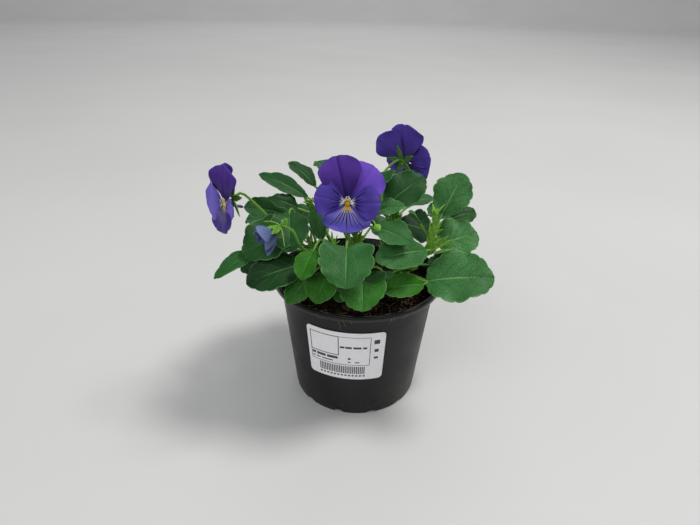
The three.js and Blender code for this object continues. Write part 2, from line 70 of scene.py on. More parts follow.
# Each leafy stem: where it leaves the peat, the points it grows through, and its leaves. A leaf is
# [where on the stem, blade's foot, blade's tip, width, roll in degrees, outline].
STEMS = {
    "stem_front": {
        "route": [[0, -9], [-2, -16, 88], [-4, -22, 102], [-6, -23, 112]],
        "leaves": [
            [0.8, [-7, -40, 116], [-7, -61, 103], 30, 0, "heart"],
            [0.5, [2, -38, 98], [2, -60, 89], 27, 6, "heart"],
            [0.5, [-16, -41, 103], [-22, -58, 92], 19, 0, "oval"],
            [0.4, [-26, -37, 98], [-38, -52, 88], 14, -30, "oval"],
            [0.3, [-6, -38, 97], [-11, -48, 87], 14, 0, "oval"],
            [0.25, [14, -19, 91], [24, -34, 84], 16, -10, "oval"],
        ],
    },
    "stem_right": {
        "route": [[8, -5], [17, -13, 84], [29, -20, 96], [40, -17, 108], [42, -15, 122]],
        "leaves": [
            [0.55, [38, -30, 91], [75, -36, 97], 33, 32, "round"],
            [0.75, [46, -14, 106], [69, -10, 112], 27, 30, "round"],
            [0.88, [47, -8, 122], [59, 0, 145], 23, 32, "oval"],
            [0.7, [38, -27, 109], [8, -43, 110], 21, -35, "oval"],
            [0.5, [37, -33, 91], [11, -46, 94], 14, -45, "oval"],
            [0.8, [55, 5, 115], [71, 9, 118], 15, 25, "oval"],
            [0.35, [42, -4, 88], [72, 2, 82], 26, 10, "oval"],
            [0.85, [34, -16, 120], [27, -19, 129], 9, -10, "narrow"],
        ],
    },
    "stem_left": {
        "route": [[-8, -5], [-15, -13, 86], [-24, -20, 102], [-30, -22, 114]],
        "leaves": [
            [0.6, [-54, -27, 108], [-79, -41, 96], 11, -20, "narrow"],
            [0.75, [-35, -22, 120], [-63, -35, 107], 29, -25, "round"],
            [0.85, [-39, -20, 127], [-37, -41, 113], 22, 0, "round"],
            [0.4, [-29, -36, 104], [-60, -48, 97], 22, -35, "oval"],
            [0.6, [-24, -40, 115], [-30, -53, 103], 14, 0, "oval"],
            [0.35, [-42, -10, 98], [-70, -16, 88], 26, -15, "oval"],
        ],
    },
    "stem_middle": {
        "route": [[1, 1], [0, -4, 94], [-2, -8, 112], [-4, -9, 126]],
        "leaves": [
            [0.65, [6, -25, 122], [28, -38, 118], 18, 20, "oval"],
            [0.75, [6, -15, 126], [25, -17, 131], 12, 25, "oval"],
            [0.55, [-20.5, -21, 111], [-27, -24, 130], 10, -80, "narrow"],
            [0.9, [-10, 2, 134], [-22, 8, 147], 12, 0, "oval"],
            [0.85, [8, -2, 134], [20, 4, 145], 12, 0, "oval"],
        ],
    },
    "stem_rear_left": {
        "route": [[-7, 7], [-14, 10, 90], [-22, 8, 106], [-28, 3, 120]],
        "leaves": [
            [0.88, [-29, -8, 131], [-58, -2, 143], 11, -35, "narrow"],
            [0.85, [-34, -12, 126], [-50, -15, 133], 12, -30, "oval"],
            [0.75, [-40, -5, 118], [-66, -11, 126], 19, -30, "oval"],
            [0.65, [-41, 11, 112], [-71, 15, 107], 30, -10, "round"],
            [0.5, [-32, 26, 102], [-58, 47, 90], 33, 0, "round"],
            [0.8, [-26, 14, 117], [-42, 2, 111], 19, 0, "oval"],
            [0.92, [-26, 8, 132], [-43, 15, 145], 12, -10, "oval"],
        ],
    },
    "stem_rear": {
        "route": [[0, 10], [-1, 17, 90], [-3, 22, 106], [-4, 24, 120]],
        "leaves": [
            [0.4, [-13, 38, 95], [-27, 67, 84], 32, 0, "heart"],
            [0.45, [11, 37, 96], [24, 70, 86], 33, 0, "round"],
            [0.65, [4, 38, 112], [4, 68, 107], 33, 0, "heart"],
            [0.8, [2, 34, 122], [-3, 58, 123], 25, 0, "oval"],
            [0.88, [-14, 26, 130], [-28, 42, 138], 17, 0, "oval"],
        ],
    },
    "stem_rear_right": {
        "route": [[8, 6], [14, 12, 88], [20, 14, 104], [24, 15, 118]],
        "leaves": [
            [0.88, [16, 0, 125], [38, 11, 139], 23, 35, "round"],
            [0.5, [35, 26, 98], [61, 45, 87], 32, 0, "round"],
            [0.65, [44, 20, 111], [72, 30, 107], 26, 10, "round"],
            [0.8, [34, 31, 113], [52, 52, 111], 25, 0, "oval"],
            [0.75, [24, 4, 112], [46, 4, 105], 24, 30, "oval"],
        ],
    },
}

# Open blooms: the heart of the face, where it looks, its roll and size, the stem and the stalk's way up,
# and petals and finishes of its own where they differ. Its own finishes are lit and shaded copies of the
# petal colours, painted light and shade. turned rolls each petal by degrees.
BLOOMS = {
    "bloom_front": {
        "heart": [-7, -28, 136.5],
        "looks": [0.04, -0.94, 0.34],
        "size": 1,
        "stem": "stem_middle",
        "stalk": [[-2, -8, 112], [-8, -12, 126], [-8, -16, 137]],
    },
    "bloom_left": {
        "heart": [-73, -23, 133],
        "looks": [-0.83, -0.55, 0.06],
        "size": 0.9,
        "petals": [
            [118, 24, 26.5, -1.4, -4, 4, 0.05],
            [86, 23.5, 25, -0.2, 2, 4, 0.05],
            [189, 16.5, 25, 0.8, 20, -6, 0.04],
            [335, 12, 13, 0.6, -6, -6, 0.04],
            [257, 18.5, 28, -0.2, 17, -8, 0.04],
        ],
        "turned": (8, 16, 0, 0, 0),
        # Painted shade on the left bloom's upper and lower petals, from the darker copies, and painted light
        # on its side petals, from the lighter copy.
        "finishes": {"upper_right": "upper_left", "side": "side_lit", "lower": "lower_shaded"},
        "stem": "stem_left",
        "stalk": [[-24, -20, 102], [-44, -17, 115], [-57, -18, 130]],
    },
    "bloom_right": {
        "heart": [30, 40, 139],
        "looks": [0.62, 0.76, 0.15],
        "roll": -14,
        "size": 1,
        "petals": [
            [104, 25.5, 24, -0.2, -6, 4, 0.05],
            [52, 24.5, 24, -0.9, -4, 4, 0.05],
            [172, 18, 19, 0.8, 3, -6, 0.04],
            [3, 17.5, 18.5, 0.9, 3, -6, 0.04],
            [261, 16, 28, 0.1, 8, -8, 0.04],
        ],
        "stem": "stem_rear_right",
        "stalk": [[20, 14, 104], [14, 22, 120], [13, 28, 132]],
    },
}

# Petals of a bloom: [angle on the face, length, width, layer forwards, tilt forwards, cup, arch].
PETALS = [
    [104, 25.5, 24, -0.2, -6, 4, 0.05],
    [52, 24.5, 24, -0.9, -4, 4, 0.05],
    [168, 18, 19, 0.8, 3, -6, 0.04],
    [0, 17.5, 19, 0.9, 3, -6, 0.04],
    [267, 16, 27, 0.1, 8, -8, 0.04],
]

# The bud that hangs between the front and left blooms, and its petals
BUD = {
    "heart": [-43, -45, 126],
    "looks": [-0.84, -0.36, -0.4],
    "size": 1,
    "stem": "stem_left",
    "stalk": [[-24, -20, 102], [-31, -37, 114], [-35, -42, 126], [-38, -44, 129]],
}
BUD_PETALS = [
    [60, 12, 11.5, 0.4, 40, 26, -0.12],
    [150, 12, 9, 0.2, 60, 30, -0.14],
    [268, 13, 10, 0.3, 46, 30, -0.14],
    [335, 11, 9, 0, 56, 30, -0.14],
]

# Sizes of stipules, sepals and round parts
STIPULE = {"length": 11, "width": 3.2}
SEPAL = {"length": 11, "width": 3.2}
STEM_RADIUS = 1.3
STALK_RADIUS = 0.85
PETIOLE_RADIUS = 0.75

# What the solids leave to the looks
LEAF_SKIN = 0.42
PETAL_SKIN = 0.36
INSET = 0.985
BLADE_GRIDS = {
    "heart": (68, 18), "round": (68, 16), "oval": (60, 14), "narrow": (44, 10),
    "lance": (8, 4), "petal": (40, 24), "lip": (40, 24),
}
FINE_TEETH = {"heart": 8, "round": 8, "oval": 7, "narrow": 5}
LEAF_RELIEF = {"arch": 0.07, "cup": 10, "wave": 0.12, "crimp": 0.8, "vein": 0.4}
PETAL_RELIEF = {"crimp": 0.8, "wave": 0.1}

# The five petals of a bloom: depth of the middle groove, outline, and how many degrees the upper two part
PETAL_VEINS = (1.1, 0.4, 0.3, 0.3, 0.5)
PETAL_KINDS = ("petal", "petal", "petal", "petal", "lip")
UPPER_APART = (4, -4, 0, 0, 0)

# Stipules: those above the old joints are fresher
OLD_JOINTS = 0.5
YOUNG_STIPULE_TONE = 0.84
OLD_STIPULE_TONE = 0.45
FRINGE_BLADES = 15

# Rings along the round parts, and the hairs on each side of a throat
PETIOLE_RINGS = 18
STALK_RINGS = 24
HAIR_RINGS = 8
BEARD_HAIRS = 60

# Stems whose leaves have a paler rib
PALE_RIBBED = ("stem_right", "stem_rear_left")

# The pot, the peat and the label. A turned shape starts a hair off its axis, where its points are merged.
AXIS_GAP = 0.005
SHOULDER_DROP = 9
HUB_RADIUS = 24
FOOT_RING_RADIUS = 35.5
FOOT_RECESS = 2.2
PEAT_CLEARANCE = 0.25
PEAT_RINGS = 26
CRUMBS = 900
CRUMB_SIZES = (0.35, 0.5, 0.7, 1.0, 1.3)
FIBRES = 150
LABEL_COLUMNS = 26

# Fine roots over the lip: direction in degrees, and how far each hangs
HANGING_ROOTS = ((-104, 9), (-101, 6), (-96, 3.5), (-72, 5), (-70, 3), (-62, 4), (-118, 3))

# Shader values and colours that several finishes share
LEAFY_LIGHT = {"Subsurface_Weight": 0.05, "Subsurface_Radius": (0.3, 0.8, 0.15), "Subsurface_Scale": 0.001}
PETAL_LIGHT = {
    "Sheen_Weight": 0.08, "Sheen_Roughness": 0.4,
    "Subsurface_Weight": 0.05, "Subsurface_Radius": (0.4, 0.3, 0.9), "Subsurface_Scale": 0.001,
}
WASHED_WHITE = (0.6, 0.58, 0.66)
EYE_YELLOW = (0.62, 0.38, 0.004)
WHISKER_DARK = (0.006, 0.002, 0.03)

# Fingers of a stipule: how far each leans from the middle one, and its share of the length
FINGERS = ((0, 0.97), (0.35, 0.8), (-0.4, 0.76), (0.75, 0.6), (-0.8, 0.55), (1.15, 0.4), (-1.2, 0.38))

# Tone of each leaf, from 0 for dark blue-green to 1 for fresh yellow-green, in the order of its stem's leaves
# The tones also paint light and shade, leaf by leaf: the low left oval one, in shadow beside the pot, is set
# darker, and the upright narrow one in the middle, turned away from the lamps, paler.
LEAF_TONES_AND_PAINTED_LIGHT = {
    "stem_front": [0.48, 0.9, 0.94, 0.9, 0.85, 0.4],
    "stem_right": [0.57, 0.68, 0.6, 0.53, 0.98, 0.36, 0.25, 0.9],
    "stem_left": [0.44, 0.3, 0.34, 0.22, 1.0, 0.25],
    "stem_middle": [0.47, 0.58, 0.68, 0.3, 0.35],
    "stem_rear_left": [0.32, 0.22, 0.4, 0.4, 0.35, 0.42, 0.25],
    "stem_rear": [0.3, 0.35, 0.42, 0.45, 0.4],
    "stem_rear_right": [0.3, 0.35, 0.42, 0.45, 0.2],
}

rng = random.Random(11)


# Blender helpers
def select_only(*objects):
    bpy.ops.object.select_all(action="DESELECT")
    for obj in objects:
        obj.select_set(True)
    bpy.context.view_layer.objects.active = objects[0]


def added(add, **values):
    """The object that an adding operator makes, alone selected."""
    bpy.ops.object.select_all(action="DESELECT")
    add(**values)
    return bpy.context.active_object


def apply_transforms():
    bpy.ops.object.transform_apply(location=True, rotation=True, scale=True)


def apply_modifier(obj, kind, **values):
    select_only(obj)
    modifier = obj.modifiers.new(kind.title(), kind)
    for key, value in values.items():
        setattr(modifier, key, value)
    bpy.ops.object.modifier_apply(modifier=modifier.name)


def copy_of(obj):
    piece = obj.copy()
    piece.data = obj.data.copy()
    bpy.context.collection.objects.link(piece)
    return piece


def joined(name, objects):
    select_only(*objects)
    if len(objects) > 1:
        bpy.ops.object.join()
    piece = bpy.context.view_layer.objects.active
    piece.name = name
    piece.data.name = name
    return piece


def merge_doubles(obj, distance=0.00001, turn_out=False):
    select_only(obj)
    bpy.ops.object.mode_set(mode="EDIT")
    bpy.ops.mesh.select_all(action="SELECT")
    bpy.ops.mesh.remove_doubles(threshold=distance)
    if turn_out:
        bpy.ops.mesh.normals_make_consistent(inside=False)
    bpy.ops.object.mode_set(mode="OBJECT")


def smooth(obj, angle=None):
    select_only(obj)
    if angle is None:
        bpy.ops.object.shade_smooth()
    else:
        bpy.ops.object.shade_smooth_by_angle(angle=math.radians(angle))


def finish_piece(obj, slot, nodes, *materials):
    """Gives a piece its materials, fixes it to the part and hides the solids that it stands for."""
    for k, made in enumerate(materials):
        if k < len(obj.data.materials):
            obj.data.materials[k] = made
        else:
            obj.data.materials.append(made)
    select_only(obj)
    apply_transforms()
    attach(obj, "root")
    if nodes:
        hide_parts(*nodes)


# Smooth ways through points, the same as those of the part's stems
def spline_point(p0, p1, p2, p3, t):
    steps = [max((b - a).length ** 0.5, 1e-4) for a, b in ((p0, p1), (p1, p2), (p2, p3))]
    start = (p1 - p0) / steps[0] - (p2 - p0) / (steps[0] + steps[1]) + (p2 - p1) / steps[1]
    end = (p2 - p1) / steps[1] - (p3 - p1) / (steps[1] + steps[2]) + (p3 - p2) / steps[2]
    start, end = start * steps[1], end * steps[1]
    third = -3 * p1 + 3 * p2 - 2 * start - end
    fourth = 2 * p1 - 2 * p2 + start + end
    return p1 + start * t + third * t * t + fourth * t**3


class Way:
    """A smooth way through points, read by the share of its length."""

    def __init__(self, points, fine=40):
        points = [Vector(p) for p in points]
        ends = [2 * points[0] - points[1], *points, 2 * points[-1] - points[-2]]
        self.points = []
        for i in range(len(points) - 1):
            self.points += [spline_point(*ends[i : i + 4], k / fine) for k in range(fine)]
        self.points.append(points[-1])
        self.far = [0.0]
        for a, b in zip(self.points, self.points[1:]):
            self.far.append(self.far[-1] + (b - a).length)

    def at(self, share):
        goal = min(max(share, 0), 1) * self.far[-1]
        i = max(1, next((k for k, far in enumerate(self.far) if far >= goal), len(self.far) - 1))
        span = self.far[i] - self.far[i - 1]
        return self.points[i - 1].lerp(self.points[i], (goal - self.far[i - 1]) / span if span else 0)

    def heading(self, share):
        return (self.at(share + 0.01) - self.at(share - 0.01)).normalized()

    def sample(self, count):
        return [self.at(k / (count - 1)) for k in range(count)]


# Blades: one flat master for each outline, copied and bent to its place
def flat_blade(kind):
    """A grid shaped to the outline: x is the share across, y the share along, z the ripple."""
    outline = OUTLINES[kind]
    rows, columns = BLADE_GRIDS[kind]
    steps = 2 * outline["teeth"] + 1 if outline["teeth"] else outline["steps"]
    deeper = 1.1 if kind == "heart" else 0.75
    master = added(bpy.ops.mesh.primitive_grid_add, x_subdivisions=columns, y_subdivisions=rows, size=2)
    master.name = "flat_" + kind
    for vertex in master.data.vertices:
        share = math.copysign(abs(vertex.co.x) ** 1.25, vertex.co.x)
        k = steps * (vertex.co.y + 1) / 2
        t = (1 - math.cos(math.pi * k / steps)) / 2
        edge_along = t - outline["lobe"] * math.sin(math.pi * t) * (1 - t) ** 3
        edge_across = max(math.sin(math.pi * t ** outline["low"]), 0) ** outline["full"]
        notch = 0
        if outline["teeth"]:
            fine = k / steps * (2 * FINE_TEETH[kind] + 1)
            gap = 1 - abs(math.sin(math.pi * fine / 2)) ** 0.6
            notch = deeper * outline["depth"] * gap * abs(share) ** 5
        if kind in ("petal", "lip"):
            notch = 0.03 * abs(math.sin(2.6 * k + share)) * abs(share) ** 5
        edge_along = 0.5 + (edge_along - 0.5) * (1 - 0.4 * notch)
        along = t + (edge_along - t) * abs(share) ** 1.4
        ripple = math.sin(1.9 * k + math.copysign(1, share)) * abs(share)
        vertex.co = (share * edge_across * (1 - notch) * INSET, 0.5 + (along - 0.5) * INSET, ripple)
    return master


def blade(
    master, foot, tip, width, faces, roll=0.0, arch=0.0, cup=0.0, wave=0.0, crimp=0.0, vein=0.0,
    tone=0.5, rib=0.6, fanned=0.0
):
    """A copy of a flat blade laid from foot to tip, arched, cupped and waved, with what its colours read."""
    piece = copy_of(master)
    reach = tip - foot
    length = reach.length
    forward = reach.normalized()
    up = (faces - forward * faces.dot(forward)).normalized()
    up = Matrix.Rotation(math.radians(roll), 3, forward) @ up
    right = forward.cross(up)
    rise = math.tan(math.radians(cup))
    drift = Vector((rng.random(), rng.random(), rng.random())) * 50
    for vertex in piece.data.vertices:
        across, along, ripple = vertex.co
        normal = (up - forward * 4 * arch * (1 - 2 * along)).normalized()
        side = across * width / 2
        lift = abs(side) * (rise * (0.45 + 0.55 * abs(across)) + wave * ripple)
        lift += crimp * noise.noise(Vector((across * 2.2, along * 3.1, 0)) + drift) * (0.3 + abs(across))
        lift -= vein * math.exp(-((side / 0.8) ** 2))
        point = foot + forward * (along * length) + up * (4 * arch * length * along * (1 - along))
        vertex.co = (point + right * side + normal * lift) * MM
    for name, value in (("tone", tone), ("rib", rib), ("fanned", fanned)):
        shade = piece.data.attributes.new(name, "FLOAT", "POINT")
        shade.data.foreach_set("value", [value] * len(piece.data.vertices))
    return piece


def thin_piece(name, blades, skin, second_side=False):
    """All blades of a piece as one mesh, given their thickness."""
    piece = joined(name, blades)
    merge_doubles(piece)
    if second_side:
        piece.data.materials.append(None)
        piece.data.materials.append(None)
    apply_modifier(
        piece, "SOLIDIFY", thickness=skin * MM, offset=0, use_even_offset=False,
        material_offset=int(second_side),
    )
    smooth(piece, 60)
    return piece


# Round stems, stalks and petioles
def straight_rod(rings, sides):
    """A closed round bar with a ring at each whole number of its height."""
    rod = added(bpy.ops.mesh.primitive_circle_add, vertices=sides, radius=1, fill_type="NGON")
    bpy.ops.object.mode_set(mode="EDIT")
    bpy.ops.mesh.select_all(action="SELECT")
    for _ in range(rings - 1):
        bpy.ops.mesh.extrude_region_move(TRANSFORM_OT_translate={"value": (0, 0, 1)})
    bpy.ops.object.mode_set(mode="OBJECT")
    return rod


def bent_rod(rod, points, thick, thin):
    """A copy of a straight rod laid along points, one for each ring."""
    piece = copy_of(rod)
    count = len(points)
    headings = [(points[min(k + 1, count - 1)] - points[max(k - 1, 0)]).normalized() for k in range(count)]
    side = headings[0].orthogonal().normalized()
    frames = []
    for heading in headings:
        side = (side - heading * side.dot(heading)).normalized()
        frames.append((side, heading.cross(side)))
    for vertex in piece.data.vertices:
        k = round(vertex.co.z)
        radius = thick + (thin - thick) * k / (count - 1)
        radius *= {count - 1: 0.6, count - 2: 0.92}.get(k, 1)
        side, up = frames[k]
        vertex.co = (points[k] + (side * vertex.co.x + up * vertex.co.y) * radius) * MM
    return piece


def tubes(name, rod, ways):
    """Round bars in one piece, each given as (points, radius at the foot, radius at the end)."""
    piece = joined(name, [bent_rod(rod, *way) for way in ways])
    smooth(piece, 60)
    return piece


def leaf_parts(stem, row, tone, rib, masters, fingers):
    """The blade, the petiole's way and the stipules of one leaf."""
    place, foot, tip, width, roll, kind = row
    foot, tip = Vector(foot), Vector(tip)
    root = stem.at(place)
    heading = (tip - foot).normalized()
    span = (foot - root).length
    elbow = foot - heading * 0.45 * span
    elbow.z = max(elbow.z, root.z + 0.3 * (foot.z - root.z))
    bend = [root.lerp(elbow, t).lerp(elbow.lerp(foot, t), t) for t in (0, 0.35, 0.7, 1)]
    petiole = Way([*bend, foot + heading * 1.5])
    fanned = 1.0 if kind == "heart" else 0.0
    leaf = blade(masters[kind], foot, tip, width, UP, roll, tone=tone, rib=rib, fanned=fanned, **LEAF_RELIEF)
    lances = []
    fresh = YOUNG_STIPULE_TONE if place >= OLD_JOINTS else OLD_STIPULE_TONE
    outward = (bend[1] - root).normalized()
    growing = stem.heading(place)
    middle = growing * 0.8 * STIPULE["length"] + outward * 0.45 * STIPULE["length"]
    across = 0.72 * STIPULE["width"]
    side = outward.cross(growing).normalized()
    for lean, share in fingers:
        reach = (middle.normalized() * math.cos(lean) + side * math.sin(lean)) * middle.length * share
        freshness = fresh + 0.12 * rng.random()
        end = root + reach
        lances.append(blade(masters["lance"], root, end, across, outward, arch=0.06, cup=12, tone=freshness))
    return leaf, petiole, lances


def fringe(lance):
    """Fresh stipules that spread from the right stem over the leaf beside it."""
    made = []
    for i in range(FRINGE_BLADES):
        foot = Vector((rng.uniform(38, 43), rng.uniform(-21, -18), rng.uniform(102, 109)))
        share = i / (FRINGE_BLADES - 1)
        lean = Vector((1.5 * share - 0.3, -0.3 - 0.2 * share, 0.95 - 0.3 * share)).normalized()
        tip = foot + lean * rng.uniform(12, 19)
        width = rng.uniform(1.4, 2.0)
        made.append(blade(lance, foot, tip, width, UP - Vector((0, 0.8, 0)), arch=0.06, cup=14, tone=1.0))
    return made


def shoot(stem, lance):
    """Young leaves at the top of a stem."""
    foot = stem.at(0.97)
    growing = stem.heading(0.99)
    made = []
    for i in range(6):
        turn = 2 * math.pi * i / 6
        outward = Vector((math.cos(turn), math.sin(turn), 0))
        far = (12 - i / 2) * (1 if i % 2 == 0 else 0.8)
        tip = foot + growing * far + outward * (4.4 if i % 2 == 0 else 2.4)
        made.append(blade(lance, foot, tip, 3.2, -outward, arch=0.1, cup=16, tone=0.9))
    return made


# Blooms
class Face:
    """A flower's own axes: forwards out of its face, up and right on it."""

    def __init__(self, flower):
        self.heart = Vector(flower["heart"])
        self.forward = Vector(flower["looks"]).normalized()
        self.up = (UP - self.forward * self.forward.z).normalized()
        self.up = Matrix.Rotation(math.radians(flower.get("roll", 0)), 3, self.forward) @ self.up
        self.right = self.up.cross(self.forward)

    def at(self, x, y, z):
        return self.heart + self.right * x + self.up * y + self.forward * z


def petal(flower, row, master, apart=0, **extra):
    angle, length, width, layer, tilt, cup, arch = row
    face = Face(flower)
    turn, lean = math.radians(angle), math.radians(tilt + apart)
    foot = face.at(math.cos(turn), math.sin(turn), layer)
    reach = flower["size"] * length * math.cos(lean)
    rise = flower["size"] * length * math.sin(lean)
    tip = face.at(reach * math.cos(turn), reach * math.sin(turn), layer + rise)
    return blade(master, foot, tip, flower["size"] * width, face.forward, arch=arch, cup=cup, **extra)


def calyx(flower, spread, lift, lance):
    """Sepals with their short ears, and the stalk's way up to the seat of the bloom."""
    face = Face(flower)
    high, back = 2.2, -3.8
    seat = face.at(0, high, back)
    made = []
    for i in range(5):
        turn = math.pi / 2 + i * 2 * math.pi / 5
        lean = spread + lift * max(math.sin(turn), 0)
        reach, rise = SEPAL["length"] * math.cos(lean), SEPAL["length"] * math.sin(lean)
        tip = face.at(reach * math.cos(turn), high + reach * math.sin(turn), back + rise)
        made.append(blade(lance, seat, tip, SEPAL["width"], face.forward, cup=-10, tone=0.62 + 0.25 * lift))
        ear = face.at(2.4 * math.cos(turn + 0.3), high + 2.4 * math.sin(turn + 0.3), -6)
        made.append(blade(lance, seat, ear, 1.9, -face.forward, cup=8, tone=0.85))
    return made, Way([*flower["stalk"], face.at(0, 4.6, -9), face.at(0, 3.6, -6.5), seat])


def knob(name, centre, radius):
    """A small rounded lump."""
    obj = added(
        bpy.ops.mesh.primitive_uv_sphere_add, segments=20, ring_count=10, radius=radius * MM,
        location=centre * MM,
    )
    obj.name = name
    smooth(obj)
    return obj


# Materials
def dimmed(colour, share):
    return [share * part for part in colour]


class Finish:
    """A material put together from nodes, read from the piece's own coordinates."""

    def __init__(self, name, colour, rough, **sockets):
        self.material = bpy.data.materials.new(name)
        self.material.use_nodes = True
        self.tree = self.material.node_tree
        self.shader = self.tree.nodes["Principled BSDF"]
        self.shader.inputs["Base Color"].default_value = (*colour, 1)
        self.shader.inputs["Roughness"].default_value = rough
        for socket, value in sockets.items():
            self.shader.inputs[socket.replace("_", " ")].default_value = value
        self.places = self.node("TexCoord").outputs

    def node(self, kind):
        return self.tree.nodes.new("ShaderNode" + kind)

    def set(self, socket, value):
        if isinstance(value, bpy.types.NodeSocket):
            self.tree.links.new(value, socket)
        else:
            socket.default_value = value

    def math(self, operation, *values):
        node = self.node("Math")
        node.operation = operation
        for socket, value in zip(node.inputs, values):
            self.set(socket, value)
        return node.outputs[0]

    def plus(self, first, second):
        return self.math("ADD", first, second)

    def minus(self, first, second):
        return self.math("SUBTRACT", first, second)

    def times(self, first, second):
        return self.math("MULTIPLY", first, second)

    def off_line(self, value, lines):
        """Distance to the nearest of so many lines in each unit, 0 on a line and 0.5 between two."""
        return self.math("PINGPONG", self.times(value, lines), 0.5)

    def between(self, value, low, high, at_low=0.0, at_high=1.0):
        """Goes from at_low to at_high as value goes from low to high, and stays there."""
        node = self.node("MapRange")
        for socket, given in zip(node.inputs, (value, low, high, at_low, at_high)):
            self.set(socket, given)
        return node.outputs[0]

    def fading(self, value, low, high):
        """Goes from 1 to 0 as value goes from low to high, and stays there."""
        return self.between(value, low, high, 1.0, 0.0)

    def mix(self, share, first, second):
        node = self.node("Mix")
        node.data_type = "RGBA"
        self.set(node.inputs["Factor"], share)
        for socket, colour in ((node.inputs[6], first), (node.inputs[7], second)):
            self.set(socket, colour if isinstance(colour, bpy.types.NodeSocket) else (*colour, 1))
        return node.outputs[2]

    def spots(self, scale, detail=3.0, coordinates=None):
        node = self.node("TexNoise")
        self.set(node.inputs["Vector"], coordinates or self.places["Object"])
        node.inputs["Scale"].default_value = scale
        node.inputs["Detail"].default_value = detail
        return node.outputs["Fac"]

    def cells(self, scale):
        node = self.node("TexVoronoi")
        self.set(node.inputs["Vector"], self.places["Object"])
        node.inputs["Scale"].default_value = scale
        return node.outputs["Distance"]

    def attribute(self, name):
        node = self.node("Attribute")
        node.attribute_name = name
        return node.outputs["Fac"]

    def split(self, vector):
        node = self.node("SeparateXYZ")
        self.set(node.inputs[0], vector)
        return node.outputs

    def blade_places(self):
        """Share across a blade from the rib (0) to the edge (1), share along it, and side from -1 to 1."""
        u, v, _ = self.split(self.places["UV"])
        side = self.minus(self.times(u, 2.0), 1.0)
        across = self.math("POWER", self.math("ABSOLUTE", side), 1.25)
        along = self.minus(0.5, self.times(self.math("COSINE", self.times(v, math.pi)), 0.5))
        return across, along, side

    def stretched(self, side, along, x, y):
        """Places on a blade, drawn out for a pattern that runs along it."""
        node = self.node("CombineXYZ")
        self.set(node.inputs[0], self.times(side, x))
        self.set(node.inputs[1], self.times(along, y))
        return node.outputs[0]

    def relief(self, height, strength, distance):
        node = self.node("Bump")
        node.inputs["Strength"].default_value = strength
        node.inputs["Distance"].default_value = distance
        self.set(node.inputs["Height"], height)
        self.set(self.shader.inputs["Normal"], node.outputs[0])

    def colour(self, socket):
        self.set(self.shader.inputs["Base Color"], socket)

    def speckled(self, spots, low, high, first, second, most=1.0):
        """The first colour with the second in its spots: none of it below low, and most above high."""
        self.colour(self.mix(self.between(spots, low, high, 0.0, most), first, second))

    def rough(self, socket):
        self.set(self.shader.inputs["Roughness"], socket)


def leaf_finish(name, deep, middle, pale, fresh, vein, rough):
    """Leaf green after the blade's tone, which also holds painted light and shade, with a pale rib and rim,
    fine sunken veins and painted shade in the veins and hollows.
    """
    made = Finish(name, middle, rough, Specular_IOR_Level=0.16, **LEAFY_LIGHT)
    across, along, _ = made.blade_places()
    tone, fanned = made.attribute("tone"), made.attribute("fanned")
    # The tone is partly the leaf's own green and partly painted light and shade.
    green = made.mix(made.between(tone, 0.2, 0.45), deep, middle)
    green = made.mix(made.between(tone, 0.45, 0.65), green, pale)
    green = made.mix(made.between(tone, 0.7, 0.95), green, fresh)
    patches = made.between(made.spots(60, 4), 0.35, 0.7, 0.0, 0.3)
    green = made.mix(patches, green, dimmed(middle, 0.55))
    # Darker towards the borders of the quilted cells, where the relief sinks: painted shade in the hollows.
    quilt = made.cells(850)
    green = made.mix(made.between(quilt, 0.2, 0.75, 0.0, 0.4), green, dimmed(middle, 0.5))

    # Side veins slant off the rib. On a heart-shaped leaf they fan out from its foot instead.
    bend = made.times(made.minus(made.spots(90, 2), 0.5), 0.12)
    start = made.plus(made.minus(along, made.times(across, 0.42)), bend)
    slanted = made.off_line(start, 5.0)
    fan = made.off_line(made.math("DIVIDE", across, made.plus(along, 0.12)), 1.6)
    side_veins = made.plus(slanted, made.times(fanned, made.minus(fan, slanted)))
    fade = made.fading(across, 0.3, 0.85)
    branch = made.times(made.fading(side_veins, 0.0, 0.05), fade)
    # A band along both sides of each side vein, darkened further down as painted shade beside the sunken
    # vein.
    beside = made.times(made.fading(side_veins, 0.03, 0.12), fade)
    rib = made.times(made.fading(across, 0.012, 0.036), made.fading(along, 0.5, 0.8))
    rim = made.between(across, 0.945, 0.98)
    fine_veins = made.times(made.fading(made.off_line(start, 15.0), 0.0, 0.16), made.fading(across, 0.1, 0.6))
    fine_veins = made.times(fine_veins, made.between(made.spots(130, 2), 0.4, 0.6))

    # Painted shade: the fine veins darken where they sink into the relief, and so does the band beside each
    # side vein.
    green = made.mix(made.times(fine_veins, 0.6), green, dimmed(middle, 0.35))
    green = made.mix(made.times(beside, 0.55), green, dimmed(middle, 0.4))
    shown = made.plus(0.24, made.times(fanned, 0.26))
    green = made.mix(made.times(branch, shown), green, vein)
    green = made.mix(made.times(rib, made.attribute("rib")), green, vein)
    green = made.mix(made.times(rim, 0.5), green, vein)
    made.colour(green)
    made.rough(made.between(made.spots(160, 2), 0.3, 0.7, rough - 0.06, rough + 0.08))
    grooves = made.plus(made.plus(branch, rib), fine_veins)
    made.relief(made.plus(made.times(quilt, -0.5), made.times(grooves, -0.5)), 0.4, 0.0006)
    return made.material


